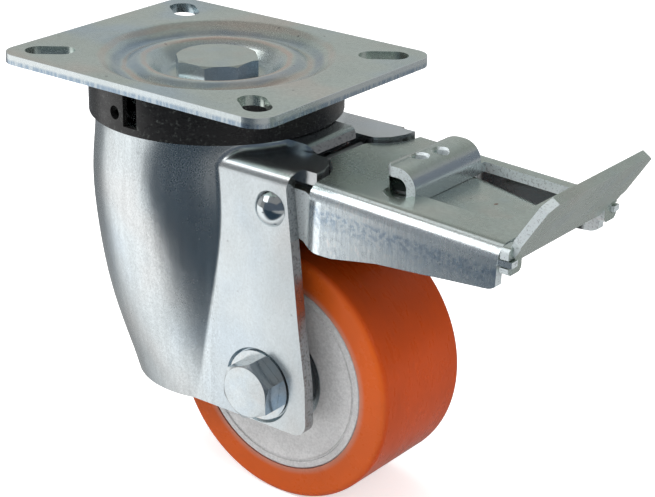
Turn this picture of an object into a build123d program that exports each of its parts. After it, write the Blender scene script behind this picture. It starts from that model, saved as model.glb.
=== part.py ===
from build123d import *
from math import cos, radians, sin, sqrt, tan
import os

# Swivel castor: top plate, pressed fork, bonded wheel and a pedal that locks wheel and swivel.
# The frame has +Z up and its origin on the swivel axis, in the mounting face of the top plate.
# X is the rolling direction, with the pedal at +X, and Y is along the axle. Sizes are in mm.

# ---------------------------------------------------------------- driving dimensions
PLATE_LENGTH = 135.0
PLATE_WIDTH = 110.0
PLATE_SHEET = 4.0
PLATE_CORNER = 9.0
SLOT_SPACING_X = 105.0
SLOT_SPACING_Y = 80.0
SLOT_LENGTH = 20.0
SLOT_WIDTH = 11.0
DISH_FLOOR = -8.2

KING_RADIUS = 10.0
KING_END = -50.0
KING_HEAD_FLATS = 31.6
KING_HEAD_SIDES = 8
KING_HEAD_FACE = 15.9
KING_HEAD_TOP = -1.0
KING_HEAD_TURN = 24.0

UPPER_PITCH = 31.0
UPPER_BALL = 4.0
UPPER_LEVEL = -10.2
UPPER_COUNT = 14
LOWER_PITCH = 26.0
LOWER_BALL = 3.2
LOWER_LEVEL = -19.7
LOWER_COUNT = 12
GROOVE_FIT = 0.08

CROWN_TOP = -12.8
COLLAR_TOP = -21.5
SHOULDER_TOP = -24.5
FORK_SHEET = 5.0
NECK_SECTIONS = [  # level, centre of the circle along X, outer radius
    (-17.0, 0.0, 49.8),
    (-40.0, 0.0, 49.8),
    (-58.0, 0.0, 49.7),
    (-74.0, 0.2, 48.2),
    (-88.0, 0.7, 46.4),
    (-107.0, 3.0, 43.4),
    (-119.0, 5.5, 41.3),
    (-136.0, 8.6, 38.4),
]
LEG_HALF_WIDTH = 37.5
LEG_BEND = 6.0
LEDGE_HALF_WIDTH = 31.3
LIP_HALF_WIDTH = 14.5
LIP_SHEET = 3.5
FORK_BOTTOM = -131.5
FORK_VALLEY = 3.0

AXLE_X = 52.0
AXLE_Z = -115.7
AXLE_RADIUS = 7.0
AXLE_FLATS = 21.0
AXLE_HEAD = 8.0
AXLE_HEAD_TURN = 22.0
WASHER_RADIUS = 14.3
WASHER_THICKNESS = 2.0
SEAT_RADIUS = 14.6
SEAT_SPREAD = 0.5  # growth of the coined seat's radius for each mm towards the leg's face

WHEEL_RADIUS = 52.5
WHEEL_HALF_WIDTH = 25.0
HUB_RADIUS = 40.0
BEARING_OUTER = 21.0
BEARING_INNER = 10.0
BEARING_WIDTH = 12.0
BEARING_PITCH = 15.5
BEARING_BALL = 3.0
BEARING_COUNT = 8

PIVOT_X = 57.6
PIVOT_Z = -40.8
PIVOT_RADIUS = 4.0

LEVER_SHEET = 4.0
LEVER_HALF_WIDTH = 37.0
LEVER_BEND = 6.0
LEVER_FALL = 2.3  # degrees that the web falls towards the pedal
LEVER_END = 158.0
WEB_X = 75.0
WEB_Z = -26.5
EAR_OUTER = 32.2
TONGUE_HALF_WIDTH = 13.0

STRAP_HOLES = [(102.0, -4.6), (104.7, 5.4)]
STRAP_HOLE_RADIUS = 3.0

LEAF_SHEET = 3.0
RIVET_PLACES = [(99.0, -9.0, 0.0), (99.0, 11.0, 0.0)]
RIVET_RADIUS = 2.5
RIVET_HEAD = 4.5

FLAP_SHEET = 3.5
FLAP_SLOPE = 57.0
FLAP_TOP_X = 174.4
FLAP_TOP_Z = -9.5
FLAP_PIVOT_X = 160.5
FLAP_PIVOT_Z = -35.75


# ---------------------------------------------------------------- shared shapes
def sheet_profile(points, radii, sheet):
    """Section of bent sheet whose outer face runs along points, with the metal on its right."""
    face_line = [Vector(*point) for point in points]
    normals = []
    for start, end in zip(face_line, face_line[1:]):
        run = (end - start).normalized()
        normals.append(Vector(run.Y, -run.X))
    back_line = [face_line[0] + normals[0] * sheet]
    back_radii = []
    for corner, radius, before, after in zip(face_line[1:], radii, normals, normals[1:]):
        mitre = (before + after).normalized()
        back_line.append(corner + mitre * (sheet / mitre.dot(before)))
        turns_left = before.cross(after).Z > 0
        back_radii.append(radius + sheet if turns_left else radius - sheet)
    back_line.append(face_line[-1] + normals[-1] * sheet)
    face_edges = FilletPolyline(*face_line, radius=radii).edges()
    back_edges = FilletPolyline(*back_line, radius=back_radii).edges()
    ends = [
        Edge.make_line(face_line[0], back_line[0]),
        Edge.make_line(face_line[-1], back_line[-1]),
    ]
    return make_face(face_edges + back_edges + ends)


def outline(points, radii=None):
    """Closed face through points, with a corner radius for each point where radii are given."""
    if radii is None:
        return make_face(Polyline(*points, close=True).edges())
    return make_face(FilletPolyline(*points, radius=radii, close=True).edges())


def side_prism(face, low_y, high_y):
    """Solid over a side view drawn as (x, z), between two levels of Y."""
    return Pos(0, high_y, 0) * extrude(Plane.XZ * face, amount=high_y - low_y)


def plan_prism(face, low_z, high_z):
    """Solid over a plan drawn as (x, y), between two levels of Z."""
    return Pos(0, 0, low_z) * extrude(face, amount=high_z - low_z)


def turned(face):
    """Solid of revolution about Z from a half section drawn as (radius, z)."""
    return revolve(Plane.XZ * face, axis=Axis.Z)


def tube(inner, outer, low, high):
    """Plain ring about Z."""
    ring = Cylinder(outer, high - low) - Cylinder(inner, high - low)
    return Pos(0, 0, (low + high) / 2) * ring


def drum(radius, low, high):
    """Plain cylinder about Z."""
    return Pos(0, 0, (low + high) / 2) * Cylinder(radius, high - low)


def on_axle(shape):
    """Carry a shape turned about Z onto the axle, so that its +Z faces +Y."""
    return Pos(AXLE_X, 0, AXLE_Z) * Rot(-90, 0, 0) * shape


def along_y(radius, x, z, low_y, high_y):
    """Cylinder along Y through (x, z)."""
    centre = Pos(x, (low_y + high_y) / 2, z) * Rot(90, 0, 0)
    return centre * Cylinder(radius, high_y - low_y)


def both_sides(shape):
    """The shape and its mirror image across the middle plane, as separate solids."""
    return Compound([shape.solid(), mirror(shape, about=Plane.XZ).solid()])


def ball_row(radius, pitch, level, count):
    """Ring of separate balls about Z."""
    step = 360 / count
    places = [Rot(0, 0, step * index) * Pos(pitch, 0, level) for index in range(count)]
    return Compound([(place * Sphere(radius)).solid() for place in places])


def faceted_head(flats, sides, height, face_radius):
    """Bolt head or nut blank standing on z = 0, chamfered at 30 degrees to its top face."""
    prism = extrude(RegularPolygon(flats / 2, sides, major_radius=False), amount=height)
    spread = height * tan(radians(60))
    cone = Pos(0, 0, height / 2) * Cone(face_radius + spread, face_radius, height)
    return prism & cone


# ---------------------------------------------------------------- swivel head
def top_plate():
    """Pressed plate: flat rim with four slots, groove, ball ridge and dish for the bolt head."""
    bore = KING_RADIUS + 0.15
    ridge_radius = UPPER_BALL + GROOVE_FIT + PLATE_SHEET
    relief = sheet_profile(
        [(bore, DISH_FLOOR), (21.6, DISH_FLOOR), (29.67, -0.11), (38.67, -5.3), (47.5, 0), (52, 0)],
        [3.0, ridge_radius, 6.0, 6.0],
        PLATE_SHEET,
    )
    blank = RectangleRounded(PLATE_LENGTH, PLATE_WIDTH, PLATE_CORNER) - Circle(52)
    slot_turn = 37.3
    for side_x in (-1, 1):
        for side_y in (-1, 1):
            place = Pos(side_x * SLOT_SPACING_X / 2, side_y * SLOT_SPACING_Y / 2)
            turn = Rot(0, 0, slot_turn * side_x * side_y)
            blank -= place * turn * SlotOverall(SLOT_LENGTH, SLOT_WIDTH)
    rim = extrude(blank, amount=-PLATE_SHEET)
    return rim + turned(relief)


def king_bolt():
    """Swivel bolt with a low faceted head that sits in the plate's dish."""
    seat = DISH_FLOOR + 0.05
    head = faceted_head(KING_HEAD_FLATS, KING_HEAD_SIDES, KING_HEAD_TOP - seat, KING_HEAD_FACE)
    shank = drum(KING_RADIUS, KING_END, seat)
    return Pos(0, 0, seat) * Rot(0, 0, KING_HEAD_TURN) * head + shank


def lower_race():
    """Hub and flange that carry the lower balls under the fork's crown."""
    bore = KING_RADIUS + 0.1
    section = outline(
        [(bore, -12.3), (18, -12.3), (18, -21.8), (31, -21.8), (31, -27), (bore, -27)],
    )
    groove = Pos(0, 0, LOWER_LEVEL) * Torus(LOWER_PITCH, LOWER_BALL + GROOVE_FIT)
    return turned(section) - groove


def lock_ring():
    """Plate with a notched rim that the brake's tooth enters from below."""
    notch_count = 24
    ring = tube(KING_RADIUS + 0.1, 36, -31, -27.1)
    notch = Pos(35, 0, -29) * Box(8, 4.6, 6)
    for index in range(notch_count):
        ring -= Rot(0, 0, 360 / notch_count * index) * notch
    return ring


def king_washer():
    return tube(KING_RADIUS + 0.1, 18, -33.5, -31.1)


def king_nut():
    """Nut under the head: its chamfer faces down."""
    nut = faceted_head(30, 6, 13.4, 14.5) - Cylinder(KING_RADIUS + 0.1, 40)
    return Pos(0, 0, -33.6) * Rot(180, 0, 0) * nut


def dust_ring():
    """Plastic skirt round the ball race, with a grease hole and an assembly slot."""
    outer, wall, top, bottom = 51.0, 2.5, -5.0, -21.2
    section = outline(
        [
            (outer - wall, bottom),
            (outer, bottom),
            (outer, top + 0.8),
            (outer - 0.8, top),
            (outer - wall, top),
        ],
    )
    skirt = turned(section)
    grease_hole = Rot(0, 0, -99.5) * Pos(outer, 0, -13.9) * Rot(0, 90, 0) * Cylinder(2.75, 10)
    slot = Rot(0, 0, -90) * Pos(outer, 0, -12) * Box(10, 7, 12.6)
    return skirt - grease_hole - slot


# ---------------------------------------------------------------- fork
def neck(inset, top):
    """Loft through the neck's circles, moved inward by inset and cut off at top."""
    sections = []
    for level, centre, radius in NECK_SECTIONS:
        sections.append(Pos(centre, 0, level) * Circle(radius - inset))
    return loft(sections) & drum(60, -140, top)


def leg_block(inset, top, bend):
    """Block between the outer faces of the legs, with rolled upper edges along X."""
    half = LEG_HALF_WIDTH - inset
    bottom = -136.0
    section = outline(
        [(-half, bottom), (half, bottom), (half, top), (-half, top)],
        [0, 0, bend, bend],
    )
    return Pos(12, 0, 0) * extrude(Plane.YZ * section, amount=78)


def fork_shell():
    """Bulged neck blended into two flat legs, hollow and open towards the pedal."""
    outer = neck(0, -16) + leg_block(0, SHOULDER_TOP, LEG_BEND)
    valleys = [edge for edge in outer.edges() if is_valley(edge)]
    outer = fillet(valleys, FORK_VALLEY)
    outer -= Pos(0, 0, COLLAR_TOP + 10) * Box(200, 200, 20)
    inner = neck(FORK_SHEET, COLLAR_TOP - FORK_SHEET)
    inner += leg_block(FORK_SHEET, SHOULDER_TOP - FORK_SHEET, LEG_BEND - FORK_SHEET)
    return outer - inner


def is_valley(edge):
    """True for the edges where the neck's surface meets the leg block."""
    middle = edge.position_at(0.5)
    centre_gap = sqrt(middle.X**2 + middle.Y**2)
    in_span = 15 < middle.X < 50 and -135 < middle.Z < SHOULDER_TOP + 0.1
    near_neck = centre_gap < 50.2
    near_top = abs(middle.Z - SHOULDER_TOP) < 0.01 and centre_gap > 49
    near_side = abs(abs(middle.Y) - LEG_HALF_WIDTH) < 0.01
    return in_span and near_neck and (near_top or near_side or -31 < middle.Z)


def crown():
    """Dished centre of the fork between the two rows of balls."""
    section = sheet_profile(
        [(20, CROWN_TOP), (37.2, CROWN_TOP), (40.2, COLLAR_TOP), (46, COLLAR_TOP)],
        [6.0, 2.0],
        FORK_SHEET,
    )
    upper_groove = Pos(0, 0, UPPER_LEVEL) * Torus(UPPER_PITCH, UPPER_BALL + GROOVE_FIT)
    lower_groove = Pos(0, 0, LOWER_LEVEL) * Torus(LOWER_PITCH, LOWER_BALL + GROOVE_FIT)
    return turned(section) - upper_groove - lower_groove


def shoulder_trim():
    """Plan of the fork between its legs: a notch in the middle and two rounded ledges."""
    half = [(55.0, 15.0), (67.0, 15.0), (71.6, 19.5), (74.2, 25.5), (74.9, LEDGE_HALF_WIDTH)]
    half_radii = [1.0, 4.0, 5.0, 6.0, 0]
    mirrored = [(x, -y) for x, y in reversed(half)]
    back = [(-60, LEDGE_HALF_WIDTH), (-60, -LEDGE_HALF_WIDTH)]
    radii = [0, 0] + half_radii[::-1] + half_radii
    return plan_prism(outline(back + mirrored + half, radii), FORK_BOTTOM, 0)


def leg_trim():
    """Side view of one leg: flared to its ledge, raked down the rear, rounded at the corner."""
    points = [
        (-60, 0),
        (69.0, 0),
        (68.4, SHOULDER_TOP + 0.3),
        (66.4, -26.6),
        (65.4, -31.5),
        (71.7, -86),
        (75.1, -110),
        (75.9, FORK_BOTTOM),
        (-60, FORK_BOTTOM),
    ]
    radii = [0, 0, 0, 3, 4, 20, 12, 6, 0]
    return side_prism(outline(points, radii), LEDGE_HALF_WIDTH, 60)


def fork_lip():
    """Middle of the shoulder, level with the collar and rolled over at its end."""
    section = sheet_profile(
        [(44, COLLAR_TOP), (57.6, COLLAR_TOP - 0.3), (60.4, -25.4)],
        [4.0],
        LIP_SHEET,
    )
    plan = Pos(50.5, 0) * RectangleRounded(21, 2 * LIP_HALF_WIDTH, 5)
    return side_prism(section, -20, 20) & plan_prism(plan, -35, 0)


def washer_seat():
    """Drafted recess that is coined into the +Y leg round the axle."""
    depth = WASHER_THICKNESS + 0.5
    wide = SEAT_RADIUS + SEAT_SPREAD * depth
    middle = LEG_HALF_WIDTH - WASHER_THICKNESS + depth / 2
    return on_axle(Pos(0, 0, middle) * Cone(SEAT_RADIUS, wide, depth))


def fork():
    """Deep-drawn fork with coined axle seats and holes for the lever's rivets."""
    body = fork_shell() - drum(41, -28, -20) + crown()
    boss_end = LEG_HALF_WIDTH - FORK_SHEET - WASHER_THICKNESS
    boss = along_y(SEAT_RADIUS + 2, AXLE_X, AXLE_Z, boss_end, LEG_HALF_WIDTH - 1)
    body += boss + mirror(boss, about=Plane.XZ)
    leg = leg_trim()
    body = body & (shoulder_trim() + leg + mirror(leg, about=Plane.XZ))
    body += fork_lip()
    seat = washer_seat()
    body -= seat + mirror(seat, about=Plane.XZ)
    body -= along_y(AXLE_RADIUS + 0.1, AXLE_X, AXLE_Z, -60, 60)
    body -= along_y(PIVOT_RADIUS + 0.1, PIVOT_X, PIVOT_Z, -60, 60)
    return body


def upper_balls():
    return ball_row(UPPER_BALL, UPPER_PITCH, UPPER_LEVEL, UPPER_COUNT)


def lower_balls():
    return ball_row(LOWER_BALL, LOWER_PITCH, LOWER_LEVEL, LOWER_COUNT)


# ---------------------------------------------------------------- axle
def axle_bolt():
    """Bolt from the near leg through the sleeve to the nut on the far leg."""
    head = Rot(0, 0, AXLE_HEAD_TURN) * faceted_head(AXLE_FLATS, 6, AXLE_HEAD, 10.2)
    head = Pos(0, 0, -LEG_HALF_WIDTH) * Rot(180, 0, 0) * head
    shank = drum(AXLE_RADIUS, -LEG_HALF_WIDTH, LEG_HALF_WIDTH + 15)
    return on_axle(head + shank)


def axle_nut():
    nut = faceted_head(AXLE_FLATS, 6, 12, 9.8) - Cylinder(AXLE_RADIUS + 0.1, 40)
    return on_axle(Pos(0, 0, LEG_HALF_WIDTH + 0.05) * nut)


def axle_washers():
    washer = tube(
        AXLE_RADIUS + 0.4,
        WASHER_RADIUS,
        LEG_HALF_WIDTH - WASHER_THICKNESS + 0.05,
        LEG_HALF_WIDTH - 0.05,
    )
    return both_sides(on_axle(washer))


def axle_sleeve():
    return on_axle(tube(AXLE_RADIUS + 0.1, BEARING_INNER, -30.4, 30.4))


def axle_spacers():
    spacer = tube(BEARING_INNER + 0.1, 13.5, WHEEL_HALF_WIDTH + 0.1, 30.4)
    return both_sides(on_axle(spacer))


def bearing_ring(inner, outer):
    """One ring of a ball bearing, with its groove, at the +Y end of the hub."""
    high = WHEEL_HALF_WIDTH
    low = high - BEARING_WIDTH
    groove = Torus(BEARING_PITCH, BEARING_BALL + GROOVE_FIT)
    ring = tube(inner, outer, low, high) - Pos(0, 0, (low + high) / 2) * groove
    return both_sides(on_axle(ring))


def bearing_inner_rings():
    return bearing_ring(BEARING_INNER + 0.05, 13.6)


def bearing_outer_rings():
    return bearing_ring(17.4, BEARING_OUTER - 0.05)


def bearing_balls():
    middle = WHEEL_HALF_WIDTH - BEARING_WIDTH / 2
    near = ball_row(BEARING_BALL, BEARING_PITCH, -middle, BEARING_COUNT)
    far = ball_row(BEARING_BALL, BEARING_PITCH, middle, BEARING_COUNT)
    return on_axle(Compound(list(near.solids()) + list(far.solids())))


def bearing_seals():
    """Shields over the balls, set back a little from the face of each bearing."""
    seal = tube(13.7, 17.3, WHEEL_HALF_WIDTH - 1.2, WHEEL_HALF_WIDTH - 0.5)
    return both_sides(on_axle(seal))


def wheel_hub():
    """Turned hub: bearing seats, flat faces and a fine groove inside each chamfered rim."""
    face = WHEEL_HALF_WIDTH - 0.2
    seat = WHEEL_HALF_WIDTH - BEARING_WIDTH - 0.05
    half = [
        (18.0, seat),
        (BEARING_OUTER, seat),
        (BEARING_OUTER, face),
        (35.9, face),
        (36.2, face - 0.6),
        (36.8, face - 0.6),
        (37.1, face),
        (39.4, face),
        (HUB_RADIUS, face - 0.6),
    ]
    mirrored = [(radius, -width) for radius, width in reversed(half)]
    return on_axle(turned(outline(half + mirrored)))


def tread():
    """Cast tyre bonded round the hub, with softly rounded shoulders."""
    inner = HUB_RADIUS + 0.05
    half = WHEEL_HALF_WIDTH
    section = outline(
        [(inner, -half), (WHEEL_RADIUS, -half), (WHEEL_RADIUS, half), (inner, half)],
        [0, 2.5, 2.5, 0],
    )
    return on_axle(turned(section))


# ---------------------------------------------------------------- brake lever
def pivot_rivets():
    """Domed rivets that join the legs to the lever's ears."""
    base = LEG_HALF_WIDTH + 0.05
    inner_face = EAR_OUTER - LEVER_SHEET - 0.2
    dome = Pos(0, 0, base) * (Sphere(8.2) & Pos(0, 0, 8.2) * Box(20, 20, 8.2))
    dome = Pos(0, 0, -4.1) * dome
    shank = drum(PIVOT_RADIUS, inner_face - 2.2, base + 1)
    inner_head = drum(6.5, inner_face - 2.2, inner_face)
    rivet = Pos(PIVOT_X, 0, PIVOT_Z) * Rot(-90, 0, 0) * (dome + shank + inner_head)
    return both_sides(rivet)


def lever_place(shape):
    """Tip a lever shape, drawn with its web's top face at z = 0, to its resting slope."""
    return Pos(WEB_X, 0, WEB_Z) * Rot(0, LEVER_FALL, 0) * Pos(-WEB_X, 0, 0) * shape


def lever_web():
    """Top of the channel with its two long bends, tapered at the front between the ledges."""
    half = LEVER_HALF_WIDTH
    section = sheet_profile(
        [(-half, -12), (-half, 0), (half, 0), (half, -12)],
        [LEVER_BEND, LEVER_BEND],
        LEVER_SHEET,
    )
    channel = extrude(Plane.YZ * section, amount=LEVER_END + 4)
    front = [(65.5, 9.5), (66.3, 12.2), (72.4, 18.2), (75.8, 24.8), (76.6, 31.0), (75.8, half + 1)]
    plan = [(x, -y) for x, y in reversed(front)] + front
    plan += [(LEVER_END, half + 1), (LEVER_END, -half - 1)]
    return channel & plan_prism(outline(plan), -LEVER_BEND, 5)


def lever_flanges():
    """Side walls of the channel, joggled inward at the front to pass between the legs."""
    half = LEVER_HALF_WIDTH
    wall = sheet_profile(
        [(LEVER_END, -half), (79.4, -half), (70.6, -EAR_OUTER), (46, -EAR_OUTER)],
        [9.0, 2.0],
        LEVER_SHEET,
    )
    near = plan_prism(wall, -32, -LEVER_BEND)
    return near + mirror(near, about=Plane.XZ)


def lever_side():
    """Side view that the flanges are cut to: pivot eye, deep front and tapering rear."""
    points = [
        (47.6, -32.2),
        (70.0, -32.2),
        (LEVER_END + 2, -30.0),
        (LEVER_END + 2, -46.2),
        (126, -48.7),
        (106, -50.1),
        (86, -53.5),
        (74, -53.5),
        (64, -50.8),
        (47.6, -50.8),
    ]
    radii = [9.2, 0, 0, 7, 20, 20, 8, 5, 5, 9.2]
    return side_prism(outline(points, radii), -60, 60)


def strap_plan():
    """Plan of the strap that is sheared and raised out of the web."""
    return outline([(84.2, 22.5), (84.2, 0.4), (100.4, -20.5), (111.5, -20.5), (111.5, 22.5)])


def raised_strap():
    """Strap that ramps up out of the web, rolls over and comes down again at its rear."""
    section = sheet_profile(
        [(80, -26.7), (86, -26.95), (97.8, -18.5), (111.5, -18.5), (111.5, -31.0)],
        [6.0, 10.0, 8.0],
        LEVER_SHEET,
    )
    strap = side_prism(section, -20.5, 22.5)
    for x, y in STRAP_HOLES:
        strap -= Pos(x, y) * drum(STRAP_HOLE_RADIUS, -30, -10)
        strap -= Pos(x, y, -18.8) * Cone(STRAP_HOLE_RADIUS, STRAP_HOLE_RADIUS + 1.2, 1.2)
    return strap & plan_prism(strap_plan(), -35, -10)


def brake_lever():
    """Folded channel with pivot ears, a window, a raised strap and hinge tabs at its end."""
    body = lever_place(lever_web())
    body -= Pos(104.5, -21.0, -22.8) * Sphere(7.5)
    body += lever_place(lever_flanges()) & lever_side()
    body -= plan_prism(strap_plan(), -40, -20)
    window = [(110.0, -17.5), (147.5, -17.5), (147.5, 27.5), (110.0, 27.5)]
    body -= plan_prism(outline(window, [0, 4, 1, 0]), -40, -20)
    body += raised_strap()
    for side in (-1, 1):
        body += Pos(FLAP_PIVOT_X, side * 34.9, FLAP_PIVOT_Z) * Box(6, 3.8, 2.3)
    body -= along_y(PIVOT_RADIUS + 0.06, PIVOT_X, PIVOT_Z, -60, 60)
    return body


def brake_leaf():
    """Spring leaf under the web: flat in the window, with its far edge rolled down."""
    fold = sheet_profile([(-45, 0), (0, 0), (11.5, -6.2)], [10.0], LEAF_SHEET)
    fold = extrude(Plane.YZ * fold, amount=60, both=True)
    rear = Pos(130.5, 12.0, -30.9) * Rot(0, -0.8, 0) * Rot(0, 0, -19) * fold
    rear_plan = outline(
        [(108.5, -17.2), (147.2, -17.2), (147.2, 19.0), (112.2, 27.2), (112.2, 22.0), (108.5, 22.0)],
        [0, 4.2, 2, 0, 0, 0],
    )
    rear &= plan_prism(rear_plan, -50, -20)
    neck_section = sheet_profile([(83, -31.3), (106, -32.2), (116, -31.15)], [20.0], LEAF_SHEET)
    leaf = rear + side_prism(neck_section, -16, 15)
    for hole in RIVET_PLACES:
        leaf -= Pos(*hole) * drum(RIVET_RADIUS + 0.1, -45, -20)
    return leaf


def polar(radius, degrees):
    """Point at a radius and an angle from +X, in a plane drawn as (x, z)."""
    return (radius * cos(radians(degrees)), radius * sin(radians(degrees)))


def brake_shoe():
    """Bent stem under the leaf and a foot curved to the tread."""
    inner, outer = WHEEL_RADIUS + 5.2, WHEEL_RADIUS + 9.5
    low, span = 64.0, 17.0
    rims = CenterArc((0, 0), inner, low, span).edges() + CenterArc((0, 0), outer, low, span).edges()
    ends = []
    for angle in (low, low + span):
        ends.append(Edge.make_line(polar(inner, angle), polar(outer, angle)))
    foot = Pos(AXLE_X, AXLE_Z) * make_face(rims + ends)
    stem = sheet_profile([(76.5, -61.8), (84, -35.3), (110, -35.3)], [6.0], 5.0)
    shoe = side_prism(foot, -13.5, 13.5) + side_prism(stem, -13.5, 13.5)
    for hole in RIVET_PLACES:
        shoe -= Pos(*hole) * drum(RIVET_RADIUS + 0.1, -45, -30)
    return shoe


def shoe_rivets():
    """Rivets through the leaf and the shoe's flange."""
    rivet = drum(RIVET_RADIUS, -41.8, -30.3)
    rivet += drum(RIVET_HEAD, -41.8, -40.45) + drum(RIVET_HEAD, -31.55, -30.3)
    return Compound([(Pos(*place) * rivet).solid() for place in RIVET_PLACES])


def lock_tongue():
    """Tongue under the web whose tooth rises into the notched ring; its step is rolled."""
    section = sheet_profile(
        [(34.6, -34.8), (46, -34.8), (58, -30.2), (82, -31.0)],
        [4.0, 8.0],
        3.5,
    )
    half = TONGUE_HALF_WIDTH
    roll = along_y(2.2, 62.9, -28.6, -half, half)
    roll = fillet(roll.edges().filter_by(GeomType.CIRCLE), 1.2)
    tooth = Pos(33.3, 0, -34.9) * Box(3.6, 3.6, 7.0)
    return side_prism(section, -half, half) + roll + tooth


def pedal_flap():
    """Sloping foot plate that hangs on the lever's tabs by two notched lugs."""
    length = 30.5
    half = [(0, 31.0), (3.0, 35.6), (20.6, 36.0), (22.5, 34.2), (26.5, 34.2), (length, 30.0)]
    points = [(-x, -y) for x, y in half] + [(-x, y) for x, y in reversed(half)]
    plate = extrude(outline(points), amount=-FLAP_SHEET)
    plate = Pos(FLAP_TOP_X, 0, FLAP_TOP_Z) * Rot(0, -FLAP_SLOPE, 0) * plate
    lug_face = Pos(32.65, -35.1) * RectangleRounded(8.7, 10.2, 2.2)
    lug = Pos(FLAP_PIVOT_X, 0, 0) * extrude(Plane.YZ * lug_face, amount=FLAP_SHEET / 2, both=True)
    lug -= Pos(FLAP_PIVOT_X, 36.0, FLAP_PIVOT_Z) * Box(10, 6.8, 3.1)
    return plate + lug + mirror(lug, about=Plane.XZ)


# ---------------------------------------------------------------- output
NODES = [
    top_plate,
    king_bolt,
    king_washer,
    king_nut,
    lower_race,
    lock_ring,
    dust_ring,
    fork,
    upper_balls,
    lower_balls,
    axle_bolt,
    axle_nut,
    axle_washers,
    axle_sleeve,
    axle_spacers,
    bearing_inner_rings,
    bearing_outer_rings,
    bearing_balls,
    bearing_seals,
    wheel_hub,
    tread,
    pivot_rivets,
    brake_lever,
    brake_leaf,
    brake_shoe,
    shoe_rivets,
    lock_tongue,
    pedal_flap,
]

os.makedirs("parts", exist_ok=True)
for make in NODES:
    export_step(make(), f"parts/{make.__name__}.step")
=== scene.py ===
"""Finishes, threads, floor, lamps and camera for the swivel castor."""

import math

import bpy
from mathutils import Matrix, Vector


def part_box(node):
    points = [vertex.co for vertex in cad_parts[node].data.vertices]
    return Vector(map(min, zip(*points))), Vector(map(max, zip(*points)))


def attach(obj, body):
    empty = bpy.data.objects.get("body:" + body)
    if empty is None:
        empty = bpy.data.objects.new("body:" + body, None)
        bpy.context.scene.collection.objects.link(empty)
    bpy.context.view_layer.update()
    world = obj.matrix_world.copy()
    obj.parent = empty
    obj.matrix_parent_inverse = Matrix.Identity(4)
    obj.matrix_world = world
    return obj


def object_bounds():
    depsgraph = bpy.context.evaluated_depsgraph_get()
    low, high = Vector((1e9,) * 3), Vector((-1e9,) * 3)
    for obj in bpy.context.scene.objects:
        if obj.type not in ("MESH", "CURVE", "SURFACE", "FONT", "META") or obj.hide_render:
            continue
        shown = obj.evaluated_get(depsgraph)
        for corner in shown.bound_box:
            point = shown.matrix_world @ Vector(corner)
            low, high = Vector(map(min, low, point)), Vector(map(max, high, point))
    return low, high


bl_info = {
    "name": "Swivel castor",
    "version": (1, 0, 0),
    "blender": (4, 5, 0),
    "location": "3D View > Sidebar > Castor",
    "description": "Dresses the castor's packed parts and builds its threads, floor, lamps and camera",
    "category": "Object",
}

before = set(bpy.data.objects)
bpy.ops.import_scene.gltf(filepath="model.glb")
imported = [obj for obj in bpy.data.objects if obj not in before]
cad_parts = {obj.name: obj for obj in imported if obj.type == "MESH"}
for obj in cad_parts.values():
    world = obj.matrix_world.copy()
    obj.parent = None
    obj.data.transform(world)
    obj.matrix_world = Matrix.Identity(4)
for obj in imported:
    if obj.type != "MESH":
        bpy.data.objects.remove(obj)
CAD_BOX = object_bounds()

MM = 0.001
ORIGIN = (0.0, 0.0, 0.0)

# places on the castor, measured from the middle of the plate's top face
AXLE = Vector((52 * MM, 0.0, -115.7 * MM))
PLATE_HALF_LENGTH = 67.5 * MM
PLATE_HALF_WIDTH = 55.0 * MM
PLATE_CORNER = 9.0 * MM
LEVER_TOP_X = 75.0 * MM
LEVER_TOP_Z = -26.5 * MM
LEVER_SLOPE = 0.0402  # how far the lever's top falls for each length toward the pedal

# where one look gives way to the next: from none of it to all of it
FORK_BARREL = (36.0 * MM, 28.0 * MM)
FORK_LEGS = (52.0 * MM, 54.0 * MM)
LEVER_INSIDE = (31.5 * MM, 32.5 * MM)
LEVER_OUTSIDE = (33.5 * MM, 34.5 * MM)
LEVER_TIP = (148.0 * MM, 149.0 * MM)
HUB_RIM = (35.2 * MM, 36.2 * MM)
HUB_DIRT = (38.6 * MM, 40.0 * MM)
TYRE_SKIRT = (43.0 * MM, 40.2 * MM)

# the same in millimetres, for looks that start, are full, begin to fade and end
# where along the lever the inner faces are painted dark as shade
LEVER_WINDOW = (104.0, 106.0, 150.0, 152.0)
# heights below the lever's top of a dark reflection painted on its sides
LEVER_REFLECTION_BAND = (-19.0, -11.0, -9.5, -7.5)
# where along the strap a highlight is painted
STRAP_HIGHLIGHT = (106.0, 108.0, 114.0, 116.0)

# the plate's rings of tint, real passivation tint whose cool rings are also darkened as
# painted shade of the relief: which tint, its level and strength, and the radii
# in millimetres where it starts, is full, begins to fade and ends
TINT_AND_SHADE_RINGS = (
    ("cool", 0.80, 0.45, (17.0, 20.0, 25.0, 28.5)),
    ("warm", 0.92, 0.85, (27.6, 28.8, 29.6, 31.0)),
    ("cool", 0.66, 0.60, (30.5, 32.5, 34.5, 36.0)),
    ("warm", 0.86, 0.70, (35.2, 36.3, 37.0, 38.2)),
    ("cool", 0.60, 0.70, (37.5, 39.5, 41.0, 43.5)),
    ("warm", 0.90, 0.45, (43.5, 45.0, 46.0, 48.0)),
)

# screw threads
AXLE_SHANK = 7.0 * MM
KING_SHANK = 10.0 * MM
ROOT_DEPTH = 0.15 * MM
FLANK = 0.40  # half the width of a ridge's foot, as a share of the pitch
THREAD_STEPS = 32
THREAD_CREASE = math.radians(25)

# the room's light on the castor, and the room as the metal mirrors it
AMBIENT = 0.50
CEILING = 0.27
FLOOR_SIZE = 6.0
FLOOR_LIFT = 0.55
FLOOR_CARD_X = (-1.2, 1.2)
FLOOR_CARD_Y = (-1.2, 1.5)
FLOOR_LEFT = (1.18, 1.18, 1.18)
FLOOR_NEAR = (0.033, 0.053, 0.074)
FLOOR_UNDER = (1.15, 1.15, 1.15)
FLOOR_PAST_PEDAL = (0.40, 0.40, 0.40)
FLOOR_BEYOND = (0.36, 0.36, 0.36)
FLOOR_FAR_LEFT = (0.20, 0.21, 0.22)

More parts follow.
